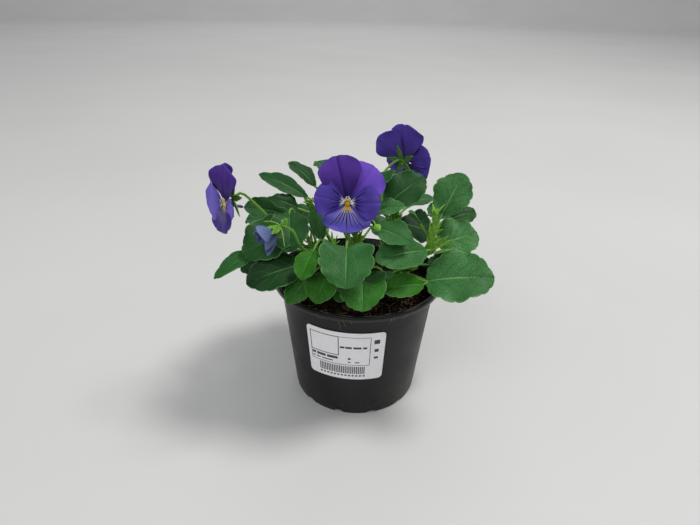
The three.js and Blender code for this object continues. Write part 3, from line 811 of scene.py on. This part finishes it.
def throat_marks(made, violet, places, whiskers, first, reach, white, spread=1.0, yellow=0.0):
    """The pale throat of a petal, the yellow eye of a lower one, and their dark lines."""
    across, along, side = places
    if yellow:
        # The lines of a broad lower petal run out from one point.
        bent = made.times(side, made.math("POWER", made.math("ABSOLUTE", side), 0.25))
        fan = made.times(bent, made.minus(4.1, made.times(along, 3.9)))
        off_middle = made.math("ABSOLUTE", fan)
        inside = made.fading(off_middle, 0.98, 1.1)
        washed = made.fading(off_middle, 0.9, 1.3)
        wash = made.times(made.between(along, 0.35, 0.75, 0.18, 0.0), made.fading(off_middle, 0.9, 1.6))
        violet = made.mix(wash, violet, WASHED_WHITE)
    else:
        fan = made.math("DIVIDE", side, spread)
        inside = made.fading(across, 0.9 * spread, spread)
        washed = made.between(across, 0.75, 0.95, 1.0, 0.2)
    lines = (whiskers - 1) / 2
    ray = made.off_line(fan, lines)
    near = made.between(made.minus(made.plus(white, made.times(ray, 0.24)), along), -0.03, 0.06)
    violet = made.mix(made.times(near, washed), violet, WASHED_WHITE)
    if yellow:
        near = made.between(made.minus(made.plus(yellow, made.times(ray, 0.16)), along), -0.02, 0.03)
        violet = made.mix(made.times(near, made.fading(across, 0.26, 0.36)), violet, EYE_YELLOW)
    wobble = made.minus(made.spots(1.0, 2, made.stretched(side, along, 6, 8)), 0.5)
    fan = made.plus(fan, made.times(wobble, 0.12))
    long = made.plus(reach, made.times(made.math("COSINE", made.times(fan, 7.0)), 0.06))
    width = made.times(made.minus(1.0, made.math("DIVIDE", along, long)), 0.42)
    line = made.between(made.minus(width, made.off_line(fan, lines)), -0.03, 0.05)
    start = made.between(along, first - 0.03, first + 0.04)
    return made.mix(made.times(made.times(line, start), inside), violet, WHISKER_DARK)


def petal_finish(name, heart, body, edge, **marks):
    """Petal colours from the throat outwards, with fine streaks, and the marks of the throat where given."""
    made = Finish(name, body, 0.7, Specular_IOR_Level=0.12, **PETAL_LIGHT)
    across, along, side = made.blade_places()
    violet = made.mix(made.between(along, 0.1, 0.6), heart, body)
    violet = made.mix(made.between(along, 0.65, 1.0), violet, edge)
    streaks = made.spots(1.0, 3, made.stretched(side, along, 26, 2.2))
    violet = made.mix(made.between(streaks, 0.35, 0.75, 0.0, 0.4), violet, dimmed(body, 0.55))
    if marks:
        violet = throat_marks(made, violet, (across, along, side), **marks)
    made.colour(violet)
    made.relief(made.plus(streaks, made.times(made.spots(900, 2), 0.3)), 0.3, 0.0005)
    return made.material


def stalk_finish():
    made = Finish("soft_green_stalk", (0.1, 0.24, 0.04), 0.5, Specular_IOR_Level=0.2, **LEAFY_LIGHT)
    made.speckled(made.spots(55), 0.35, 0.7, (0.085, 0.23, 0.03), (0.17, 0.36, 0.05))
    made.relief(made.spots(1200, 2), 0.2, 0.0003)
    return made.material


def plastic_finish():
    """Black plastic, smoother on the lip and dusty towards the foot."""
    made = Finish("black_moulded_plastic", (0.01, 0.01, 0.011), 0.38)
    height = made.split(made.places["Object"])[2]
    low = made.between(height, 0.002, 0.03, 1.0, 0.25)
    dust = made.times(made.times(made.spots(26, 5), made.spots(420)), low)
    made.speckled(dust, 0.16, 0.34, (0.007, 0.0071, 0.0078), (0.04, 0.036, 0.03), 0.5)
    lip = made.between(height, 0.0755, 0.077)
    wall = made.between(made.spots(60), 0.3, 0.7, 0.38, 0.5)
    made.rough(made.minus(wall, made.times(lip, 0.27)))
    made.set(made.shader.inputs["Specular IOR Level"], made.between(lip, 0.0, 1.0, 0.32, 0.5))
    made.relief(made.spots(1500, 2), 0.1, 0.0002)
    return made.material


def peat_finish(name, dark, light):
    made = Finish(name, dark, 0.92, Specular_IOR_Level=0.1)
    grain = made.spots(420, 5)
    made.speckled(grain, 0.45, 0.75, dark, light)
    made.relief(made.plus(grain, made.cells(500)), 0.9, 0.0012)
    return made.material


def paper_finish():
    made = Finish("matt_white_paper", (0.74, 0.73, 0.74), 0.55, Specular_IOR_Level=0.35)
    made.speckled(made.spots(300, 4), 0.35, 0.75, (0.86, 0.855, 0.87), (0.76, 0.75, 0.77), 0.35)
    made.relief(made.spots(2500, 2), 0.08, 0.0001)
    return made.material


def ink_finish():
    made = Finish("dark_print", (0.03, 0.03, 0.035), 0.5)
    made.speckled(made.spots(1800, 2), 0.4, 0.8, (0.022, 0.022, 0.026), (0.12, 0.12, 0.13), 0.5)
    return made.material


def speckled_finish(name, first, second, scale, rough):
    made = Finish(name, first, rough, Subsurface_Weight=0.05, Subsurface_Scale=0.002)
    made.speckled(made.spots(scale), 0.35, 0.7, first, second)
    made.relief(made.spots(2 * scale, 2), 0.3, 0.0003)
    return made.material


# The pot
def pot_wall(z):
    slope = (POT["shoulderRadius"] - POT["footRadius"]) / (POT["height"] - SHOULDER_DROP)
    return POT["footRadius"] + slope * z


def turned(name, profile, sides):
    """A round shape drawn out ring by ring from a circle, through (radius, height) points."""
    (radius, height), *rest = profile
    obj = added(
        bpy.ops.mesh.primitive_circle_add, vertices=sides, radius=radius * MM, location=(0, 0, height * MM),
        fill_type="NOTHING",
    )
    obj.name = name
    apply_transforms()
    bpy.ops.object.mode_set(mode="EDIT")
    bpy.ops.mesh.select_all(action="SELECT")
    for next_radius, next_height in rest:
        bpy.ops.mesh.extrude_edges_move()
        share = next_radius / radius
        bpy.ops.transform.resize(value=(share, share, 1), center_override=(0, 0, height * MM))
        bpy.ops.transform.translate(value=(0, 0, (next_height - height) * MM))
        radius, height = next_radius, next_height
    bpy.ops.object.mode_set(mode="OBJECT")
    merge_doubles(obj, 0.00002, turn_out=True)
    return obj


def ring_of_cutters(count, offset, far, height, size, lean=0, turned_on=0):
    """Round cutters of a size across, through and along, set in a ring round the pot's axis."""
    made = []
    for i in range(count):
        turn = 2 * math.pi * (i + offset) / count
        cutter = added(
            bpy.ops.mesh.primitive_cylinder_add, vertices=24, radius=1, depth=1,
            location=(far * MM * math.cos(turn), far * MM * math.sin(turn), height * MM),
            rotation=(lean, 0, turn + turned_on),
        )
        cutter.scale = [part * MM for part in size]
        made.append(cutter)
    return made


def make_pot(plastic):
    height, rim, shoulder = POT["height"], POT["rimRadius"], POT["shoulderRadius"]
    foot, wall, hub, ring = POT["footRadius"], POT["wall"], HUB_RADIUS, FOOT_RING_RADIUS
    under_lip, ledge, recess = height - POT["rimDepth"], height - SHOULDER_DROP, FOOT_RECESS
    underside = [
        (AXIS_GAP, 0), (hub - 0.4, 0), (hub, 0.3), (hub + 1.5, 2), (hub + 2, recess), (ring - 1.9, recess),
        (ring - 1.3, 2), (ring - 0.2, 0.3), (ring + 0.3, 0), (foot - 0.9, 0), (foot - 0.3, 0.2), (foot, 0.9),
    ]
    outside = [(pot_wall(z), z) for z in (4, 35, 68)]
    lip = [
        (shoulder, ledge), (shoulder + 0.5, under_lip - 2.2), (shoulder + 0.9, under_lip - 0.9),
        (shoulder + 1.4, under_lip - 0.25), (rim - 1.1, under_lip), (rim - 0.35, under_lip + 0.3),
        (rim - 0.02, under_lip + 1.1), (rim - 0.15, height - 1.3), (rim - 0.7, height - 0.35),
        (rim - 1.5, height - 0.02), (rim - 2.5, height - 0.3), (rim - 3.3, height - 1.3),
    ]
    inside = [
        (shoulder + 1.3 - wall, under_lip - 0.6), (shoulder + 0.7 - wall, under_lip - 1.8),
        (shoulder - wall, ledge), (foot - wall, 3.6), (foot - wall - 0.8, 3.4), (hub + 0.5, 3.4),
        (hub - 1, 1.4), (AXIS_GAP, 1.4),
    ]
    pot = turned("pot_shell", underside + outside + lip + inside, 144)
    # The notches lie in the foot and point outwards. The drain holes go up through the floor.
    flat = math.pi / 2
    notches = ring_of_cutters(POT["notches"], 0.5, 38.5, 0, (3.2, 2, 9), lean=flat, turned_on=flat)
    drains = ring_of_cutters(POT["drainHoles"], 0.25, 30, 3, (2, 4.4, 8))
    cutter = joined("pot_cutter", notches + drains)
    apply_transforms()
    apply_modifier(pot, "BOOLEAN", operation="DIFFERENCE", object=cutter, solver="EXACT")
    bpy.data.objects.remove(cutter)
    smooth(pot, 32)
    finish_piece(pot, "pot", ["pot"], plastic)


# The peat
def peat_side(z):
    return pot_wall(z) - POT["wall"] - PEAT["gap"] - PEAT_CLEARANCE


PEAT_RADIUS = peat_side(PEAT["edgeHeight"] - 4) - 0.1


def peat_height(x, y):
    far = min(math.hypot(x, y) / PEAT_RADIUS, 1)
    height = PEAT["edgeHeight"] + PEAT["heap"] * (1 - far**2) - (1 if far > 0.985 else 0)
    waves = math.sin(x * 0.42 + 1) * math.cos(y * 0.37) + 0.6 * math.sin(x * 0.9 - y * 0.7)
    waves += 0.5 * math.cos(y * 1.1 + x * 0.3)
    return height + (PEAT["relief"] * waves if far < 0.97 else 0) - 0.35


def make_peat(dark):
    bottom, top = FOOT_RECESS + POT["wall"] + PEAT["gap"], PEAT["edgeHeight"]
    foot = peat_side(bottom + 2)
    side = [(foot - 1.8, bottom), (foot, bottom + 2), (peat_side(top - 4), top - 4), (PEAT_RADIUS, top - 1)]
    rings = [(PEAT_RADIUS * (1 - k / PEAT_RINGS), top) for k in range(1, PEAT_RINGS)]
    peat = turned("peat_filling", [(AXIS_GAP, bottom), *side, *rings, (AXIS_GAP, top)], 110)
    for vertex in peat.data.vertices:
        x, y, z = (c / MM for c in vertex.co)
        if z > top - 0.5:
            rough = noise.fractal(Vector((x, y, 0)) * 0.45, 1.0, 2.0, 4) * 1.1
            vertex.co.z = (peat_height(x, y) + min(rough, 0.5)) * MM
    smooth(peat, 50)
    finish_piece(peat, "peat", ["peat"], dark)


def make_crumbs(bits):
    master = added(bpy.ops.mesh.primitive_ico_sphere_add, subdivisions=1, radius=1)
    crumbs = []
    for _ in range(CRUMBS):
        far, turn = (PEAT_RADIUS - 1.4) * math.sqrt(rng.random()), rng.uniform(0, 2 * math.pi)
        x, y = far * math.cos(turn), far * math.sin(turn)
        size = rng.choice(CRUMB_SIZES) * rng.uniform(0.8, 1.2)
        crumb = copy_of(master)
        crumb.location = Vector((x, y, peat_height(x, y) + 0.2 * size)) * MM
        crumb.rotation_euler = [rng.uniform(0, 3) for _ in range(3)]
        crumb.scale = [size * MM * rng.uniform(0.6, 1.3), size * MM * rng.uniform(0.6, 1.3), size * MM * 0.7]
        crumbs.append(crumb)
    bpy.data.objects.remove(master)
    select_only(*crumbs)
    apply_transforms()
    finish_piece(joined("peat_crumbs", crumbs), "peat", [], bits)


def loose_fibre(i):
    """The points and the two radii of a fibre on the peat. Two in three lie at the front right."""
    far = 42 * math.sqrt(rng.uniform(0.2, 1))
    turn = rng.gauss(-0.8, 0.6) if i % 3 else rng.uniform(0, 2 * math.pi)
    x, y = far * math.cos(turn), far * math.sin(turn)
    lean, long = rng.uniform(0, 2 * math.pi), rng.uniform(3, 8)
    points = []
    for k in range(5):
        px = x + (k / 4 - 0.5) * long * math.cos(lean) + rng.uniform(-0.5, 0.5)
        py = y + (k / 4 - 0.5) * long * math.sin(lean) + rng.uniform(-0.5, 0.5)
        if math.hypot(px, py) > 44:
            px, py = px * 0.85, py * 0.85
        points.append(Vector((px, py, peat_height(px, py) + rng.uniform(0.1, 0.8))))
    return Way(points, 4).sample(HAIR_RINGS), rng.uniform(0.12, 0.2), 0.08


def hanging_root(degrees, drop):
    """The points and the two radii of a fine dried root that hangs over the lip."""
    turn = math.radians(degrees)
    spread = math.radians(rng.uniform(1.5, 4))
    rim, top = POT["rimRadius"] - 0.1, POT["height"]
    low = top - 3.6 - drop
    points = []
    for share, radius, z in (
        (0, rim - 4.2, top - 1.5), (0.3, rim - 1.8, top - 0.15), (0.55, rim - 0.1, top - 1.4),
        (0.75, rim - 0.15, top - 3.2), (1, pot_wall(low) + 0.3, low),
    ):
        angle = turn + spread * share
        points.append(Vector((radius * math.cos(angle), radius * math.sin(angle), z)))
    return Way(points, 6).sample(HAIR_RINGS), 0.15, 0.07


def make_fibres(rod, straw):
    ways = [loose_fibre(i) for i in range(FIBRES)] + [hanging_root(*root) for root in HANGING_ROOTS]
    finish_piece(tubes("dry_fibres", rod, ways), "peat", [], straw)


# The label
def label_point(x, z, lift):
    middle = pot_wall(LABEL["middleHeight"])
    turn = math.radians(LABEL["turn"] - 90) + x / middle
    radius = pot_wall(LABEL["middleHeight"] + z) + lift
    return Vector((radius * math.cos(turn), radius * math.sin(turn), LABEL["middleHeight"] + z)) * MM


def label_mark(x, z, width, height):
    """A small flat mark on the label, bent round the pot."""
    columns = max(1, round(width / 2))
    mark = added(bpy.ops.mesh.primitive_grid_add, x_subdivisions=columns, y_subdivisions=1, size=2)
    for vertex in mark.data.vertices:
        across, up = vertex.co.x * width / 2, vertex.co.y * height / 2
        vertex.co = label_point(x + across, z + up, LABEL["gap"] + 0.35)
    return mark


def make_label_sheet(paper):
    width = LABEL["width"]
    sheet = added(bpy.ops.mesh.primitive_plane_add, size=1)
    sheet.scale = (width, LABEL["height"], 1)
    apply_transforms()
    bpy.ops.object.mode_set(mode="EDIT")
    bpy.ops.mesh.select_all(action="SELECT")
    bpy.ops.mesh.bevel(offset=LABEL["corner"], segments=6, affect="VERTICES")
    for i in range(1, LABEL_COLUMNS):
        bpy.ops.mesh.select_all(action="SELECT")
        bpy.ops.mesh.bisect(plane_co=(width * (i / LABEL_COLUMNS - 0.5), 0, 0), plane_no=(1, 0, 0))
    bpy.ops.object.mode_set(mode="OBJECT")
    for vertex in sheet.data.vertices:
        vertex.co = label_point(vertex.co.x, vertex.co.y, LABEL["gap"] + 0.12)
    sheet.name = "label_sheet"
    merge_doubles(sheet, 0.000001)
    apply_modifier(sheet, "SOLIDIFY", thickness=0.2 * MM, offset=1)
    smooth(sheet, 30)
    finish_piece(sheet, "label", ["label"], paper)


def make_label_marks(ink):
    """Plain marks where the real label is printed, each (x, z, width, height) from its middle."""
    rules = [
        (-12, 14.4, 17.5, 0.5), (-12, 0.6, 17.5, 0.5), (-20.6, 7.5, 0.5, 14.2), (-3.4, 7.5, 0.5, 14.2),
        (14.6, 4.2, 0.35, 21), (-3, -6.4, 35, 0.35), (-20.6, -3.1, 0.35, 6.8), (5.4, 14.5, 17.6, 0.3),
    ]
    dashes = [
        (-1.2, 6.9, 2.6, 1.4), (2.4, 6.9, 3.6, 1.4), (7.3, 6.9, 4.4, 1.4), (11.6, 6.9, 2.2, 1.4),
        (-19, -1.6, 2.4, 1.8), (-14.2, -1.6, 5.6, 1.8), (-7.2, -1.6, 6.6, 1.8), (2.8, -1.6, 1.6, 1.4),
        (-19.3, -4.3, 1.6, 0.8), (-16.2, -4.3, 2.8, 0.8), (-10.4, -4.3, 7, 0.8), (2.8, -4.3, 1.6, 0.8),
        (7.4, -4.3, 2.6, 0.8),
    ]
    bars = [(-15.2 + 1.12 * i, -10.4, 0.66, 5.8) for i in range(25)]
    ticks = [(-14.8 + 2.2 * i, -14.9, 1.3, 1.1) for i in range(13)]
    patches = [(18.2, 4.6, 2.4, 2.2), (18.2, -0.9, 2.4, 1.6), (18.2, 11, 3.2, 3)]
    marks = joined("label_marks", [label_mark(*mark) for mark in rules + dashes + bars + ticks + patches])
    apply_modifier(marks, "SOLIDIFY", thickness=0.03 * MM, offset=-1)
    finish_piece(marks, "label", [], ink)


# The plant
def stem_way(name):
    (x, y), *above = STEMS[name]["route"]
    return Way([(x, y, CROWN["stemFoot"]), (x, y, CROWN["straightTo"]), *above])


def make_stem(name, masters, finishes):
    way, lance = stem_way(name), masters["lance"]
    leaves, petioles, lances = [], [], shoot(way, lance)
    fingers = FINGERS[:4] if name == "stem_right" else FINGERS
    rib = 0.85 if name in PALE_RIBBED else 0.45
    # Each leaf's tone also holds its painted light or shade.
    for row, tone in zip(STEMS[name]["leaves"], LEAF_TONES_AND_PAINTED_LIGHT[name]):
        leaf, petiole, stipules = leaf_parts(way, row, tone, rib, masters, fingers)
        leaves.append(leaf)
        petioles.append((petiole.sample(PETIOLE_RINGS), PETIOLE_RADIUS, 0.9 * PETIOLE_RADIUS))
        lances += stipules
    if name == "stem_right":
        lances += fringe(lance)
    stalks = [(way.sample(STALK_RINGS), STEM_RADIUS, 0.8 * STEM_RADIUS)]
    for flower, spread, lift in [(row, -0.15, 0) for row in BLOOMS.values()] + [(BUD, 0.35, 0.9)]:
        if flower["stem"] == name:
            sepals, stalk = calyx(flower, spread, lift, lance)
            lances += sepals
            stalks.append((stalk.sample(STALK_RINGS), STALK_RADIUS, 0.85 * STALK_RADIUS))
    made = thin_piece(name + "_leaves", leaves, LEAF_SKIN, second_side=True)
    finish_piece(made, "leaf", [name], finishes["leaf"], finishes["underside"])
    made = thin_piece(name + "_stipules", lances, LEAF_SKIN)
    finish_piece(made, "leaf", [name], finishes["stipule"])
    made = tubes(name + "_petioles", masters["petiole"], petioles)
    finish_piece(made, "leaf", [name], finishes["stalk"])
    made = tubes(name + "_stalks", masters["stalk"], stalks)
    finish_piece(made, "leaf", [name], finishes["stalk"])


def beard_hair(face, side):
    """The points and the two radii of one white hair beside the throat."""
    share, low = rng.random(), rng.uniform(-0.5, 0.3)
    root = face.at(side * (0.5 + 2.6 * share), 3.3 - 3.6 * share + low, 1.0)
    across = side * (0.2 + 2.2 * share) + rng.uniform(-0.5, 0.5)
    tip = face.at(across, 3.1 - 3.8 * share + rng.uniform(-0.6, 0.4), rng.uniform(1.5, 2.4))
    return Way([root, tip], 4).sample(HAIR_RINGS), 0.12, 0.06


def make_bloom(name, flower, masters, finishes):
    face, looks = Face(flower), flower.get("finishes", {})
    rows, turned_by = flower.get("petals", PETALS), flower.get("turned", (0, 0, 0, 0, 0))
    blades = []
    for row, apart, vein, roll, kind in zip(rows, UPPER_APART, PETAL_VEINS, turned_by, PETAL_KINDS):
        apart = 0 if "turned" in flower else apart
        blades.append(petal(flower, row, masters[kind], apart, roll=roll, vein=vein, **PETAL_RELIEF))
    petals, pistil = [name + "_petals"], [name + "_pistil"]
    groups = {"upper_left": blades[:1], "upper_right": blades[1:2], "side": blades[2:4], "lower": blades[4:]}
    for part, group in groups.items():
        made = thin_piece(f"{name}_{part}_petal", group, PETAL_SKIN, second_side=True)
        finish_piece(made, "petal", petals, finishes[looks.get(part, part)], finishes["petal_back"])
    spur = Way([face.at(0, -0.9, 0.5), face.at(0, -1.8, -4), face.at(0, -3.6, -10)])
    made = tubes(name + "_spur", masters["petiole"], [(spur.sample(PETIOLE_RINGS), 1.0, 0.8)])
    finish_piece(made, "petal", petals, finishes["spur"])
    finish_piece(knob(name + "_tube", face.at(0, -0.3, -1.9), 2.5), "petal", petals, finishes["spur"])
    finish_piece(knob(name + "_throat", face.at(0, -0.4, -0.1), 1.75), "petal", petals, finishes["throat"])
    finish_piece(knob(name + "_stigma", face.at(0, 1.3, 2.4), 0.7), "pistil", pistil, finishes["yolk"])
    hairs = [beard_hair(face, side) for side in (-1, 1) for _ in range(BEARD_HAIRS)]
    finish_piece(tubes(name + "_beard", masters["hair"], hairs), "pistil", pistil, finishes["white"])


def make_bud(masters, finishes):
    furled = [petal(BUD, row, masters["petal"], crimp=0.4) for row in BUD_PETALS]
    made = thin_piece("bud_furled_petals", furled, PETAL_SKIN, second_side=True)
    finish_piece(made, "bud", ["bud_petals"], finishes["bud"], finishes["bud"])
    inner = []
    for angle, length, width, layer, tilt, _, arch in BUD_PETALS:
        row = (angle + 45, 0.9 * length, 0.75 * width, layer, tilt + 9, 40, arch)
        inner.append(petal(BUD, row, masters["petal"], crimp=0.3))
    made = thin_piece("bud_inner_petals", inner, PETAL_SKIN)
    finish_piece(made, "bud", ["bud_petals"], finishes["bud_inside"])


def make_young_bud(masters, finishes):
    """A tiny closed bud on its own thin stalk beside the front bloom."""
    seat, tip = Vector((8.2, -31, 125.5)), Vector((10.5, -35, 124))
    lances = []
    for i in range(5):
        turn = i * 2 * math.pi / 5
        outward = Vector((math.cos(turn) * 0.5, 0.3 * math.cos(turn), math.sin(turn)))
        foot, end = seat - outward * 0.3, tip - outward * 0.2
        lances.append(blade(masters["lance"], foot, end, 3.2, outward, arch=0.32, cup=-14, tone=0.98))
    made = thin_piece("young_bud", lances, LEAF_SKIN)
    finish_piece(made, "leaf", ["stem_middle"], finishes["stipule"])
    stalk = Way([(-1.5, -7, 110), (1, -17, 119), (4, -25, 126.5), (7, -29.5, 127), seat])
    made = tubes("young_bud_stalk", masters["stalk"], [(stalk.sample(STALK_RINGS), 0.6, 0.5)])
    finish_piece(made, "leaf", ["stem_middle"], finishes["stalk"])


finishes = {
    "leaf": leaf_finish(
        "leaf_upper_side", deep=(0.004, 0.027, 0.005), middle=(0.022, 0.12, 0.022), pale=(0.07, 0.225, 0.064),
        fresh=(0.03, 0.165, 0.004), vein=(0.15, 0.32, 0.1), rough=0.5,
    ),
    "underside": leaf_finish(
        "leaf_underside", deep=(0.03, 0.1, 0.04), middle=(0.06, 0.17, 0.05), pale=(0.08, 0.2, 0.06),
        fresh=(0.1, 0.24, 0.03), vein=(0.15, 0.3, 0.1), rough=0.65,
    ),
    "stipule": leaf_finish(
        "stipule_green", deep=(0.03, 0.12, 0.01), middle=(0.06, 0.2, 0.014), pale=(0.1, 0.28, 0.03),
        fresh=(0.25, 0.53, 0.06), vein=(0.28, 0.5, 0.12), rough=0.6,
    ),
    "stalk": stalk_finish(),
    # The upper petals share one violet: a darker copy as painted shade (upper_left) and a copy about twice as
    # bright as painted light (upper_right).
    "upper_left": petal_finish(
        "upper_petal_shaded_violet", (0.018, 0.007, 0.09), (0.064, 0.024, 0.23), (0.1, 0.042, 0.33)
    ),
    "upper_right": petal_finish(
        "upper_petal_lit_violet", (0.036, 0.014, 0.15), (0.13, 0.058, 0.45), (0.175, 0.085, 0.54)
    ),
    "side": petal_finish(
        "side_petal_violet", (0.033, 0.017, 0.19), (0.066, 0.04, 0.29), (0.095, 0.058, 0.37),
        whiskers=6, first=0.14, reach=0.48, white=0.075, spread=0.85,
    ),
    # A lighter copy of the side petals' violet: painted light on the left bloom's side petals.
    "side_lit": petal_finish(
        "side_petal_lit_violet", (0.1, 0.07, 0.36), (0.2, 0.155, 0.6), (0.17, 0.12, 0.54),
        whiskers=6, first=0.14, reach=0.3, white=0.06, spread=0.85,
    ),
    "lower": petal_finish(
        "lower_petal_violet", (0.11, 0.085, 0.42), (0.09, 0.072, 0.4), (0.14, 0.1, 0.54),
        whiskers=8, first=0.17, reach=0.84, white=0.19, yellow=0.15,
    ),
    "lower_shaded": petal_finish(
        "lower_petal_shaded", (0.05, 0.03, 0.2), (0.056, 0.034, 0.22), (0.09, 0.05, 0.3),
        whiskers=8, first=0.17, reach=0.5, white=0.15, yellow=0.15,
    ),
    "petal_back": petal_finish(
        "petal_back_violet", (0.06, 0.045, 0.2), (0.1, 0.056, 0.4), (0.13, 0.074, 0.5)
    ),
    "spur": speckled_finish("spur_pale_violet", (0.12, 0.09, 0.3), (0.08, 0.05, 0.24), 300, 0.6),
    "throat": speckled_finish("throat_yellow", (0.5, 0.3, 0.005), (0.38, 0.25, 0.01), 500, 0.6),
    "yolk": speckled_finish("stigma_pale_yellow", (0.5, 0.38, 0.04), (0.42, 0.27, 0.01), 900, 0.6),
    "white": speckled_finish("white_beard", (0.72, 0.7, 0.56), (0.62, 0.58, 0.36), 900, 0.7),
    "bud": petal_finish("bud_pale_blue", (0.08, 0.11, 0.19), (0.1, 0.135, 0.28), (0.15, 0.2, 0.36)),
    "bud_inside": petal_finish("bud_inside_blue", (0.03, 0.035, 0.1), (0.04, 0.05, 0.16), (0.08, 0.1, 0.26)),
}
masters = {kind: flat_blade(kind) for kind in OUTLINES}
masters["petiole"] = straight_rod(PETIOLE_RINGS, 10)
masters["stalk"] = straight_rod(STALK_RINGS, 12)
masters["hair"] = straight_rod(HAIR_RINGS, 5)

make_pot(plastic_finish())
make_peat(peat_finish("dark_peat", (0.006, 0.0038, 0.0028), (0.028, 0.016, 0.01)))
make_crumbs(peat_finish("peat_crumb", (0.014, 0.008, 0.005), (0.1, 0.055, 0.03)))
make_fibres(masters["hair"], speckled_finish("dry_straw", (0.34, 0.19, 0.1), (0.16, 0.08, 0.04), 600, 0.8))
make_label_sheet(paper_finish())
make_label_marks(ink_finish())
for name in STEMS:
    make_stem(name, masters, finishes)
for name, flower in BLOOMS.items():
    make_bloom(name, flower, masters, finishes)
make_bud(masters, finishes)
make_young_bud(masters, finishes)
for master in masters.values():
    bpy.data.objects.remove(master)


# Floor, light and camera, in metres
def make_floor():
    """A pale tabletop that curves up far behind the pot, and all round it."""
    floor = added(bpy.ops.mesh.primitive_grid_add, x_subdivisions=70, y_subdivisions=70, size=14)
    floor.name = "floor"
    for vertex in floor.data.vertices:
        curve = min(max(math.hypot(vertex.co.x, vertex.co.y) - 4.5, 0), 2.2)
        vertex.co.z = 0.45 * curve**2
    smooth(floor)
    pale = Finish("pale_tabletop", (0.58, 0.58, 0.57), 0.6, Specular_IOR_Level=0.3)
    pale.speckled(pale.spots(3, 4), 0.3, 0.7, (0.545, 0.54, 0.525), (0.575, 0.57, 0.555))
    floor.data.materials.append(pale.material)


def area_light(name, place, aim, size, watts, colour=(1, 1, 1)):
    lamp = added(bpy.ops.object.light_add, type="AREA", location=place)
    lamp.name = name
    lamp.data.shape = "DISK"
    lamp.data.size = size
    lamp.data.energy = watts
    lamp.data.color = colour
    lamp.rotation_euler = (Vector(aim) - Vector(place)).to_track_quat("-Z", "Y").to_euler()


def make_world(colour, strength):
    world = bpy.data.worlds.new("studio_air")
    world.use_nodes = True
    sky = world.node_tree.nodes["Background"].inputs
    sky["Color"].default_value = (*colour, 1)
    sky["Strength"].default_value = strength
    bpy.context.scene.world = world


def make_camera(place, down, roll, lens):
    """The photograph's view, tilted down and rolled by radians, with its lens in millimetres."""
    camera = bpy.data.cameras.new("photo_view")
    camera.lens = lens
    camera.sensor_width = 36
    photo_view = bpy.data.objects.new("photo_view", camera)
    bpy.context.collection.objects.link(photo_view)
    tilted = Matrix.Rotation(math.pi / 2 - down, 4, "X") @ Matrix.Rotation(roll, 4, "Z")
    photo_view.matrix_world = Matrix.Translation(place) @ tilted
    bpy.context.scene.camera = photo_view


make_floor()
area_light("key_light", (0.95, 0.1, 2.1), (0, 0.2, 0.05), 0.7, 34, (1, 0.99, 0.97))
area_light("front_fill", (-0.6, -1.2, 1.4), (0, 0, 0.08), 1.2, 10.5, (0.97, 0.98, 1))
area_light("backdrop_light", (0, 3.2, 2.6), (0, 3.6, 0), 2.5, 33)
make_world((0.93, 0.95, 1), 0.43)
make_camera((-0.005, -0.29, 0.237), down=0.479, roll=0.021, lens=27.1)
bpy.context.scene.view_settings.view_transform = "Standard"
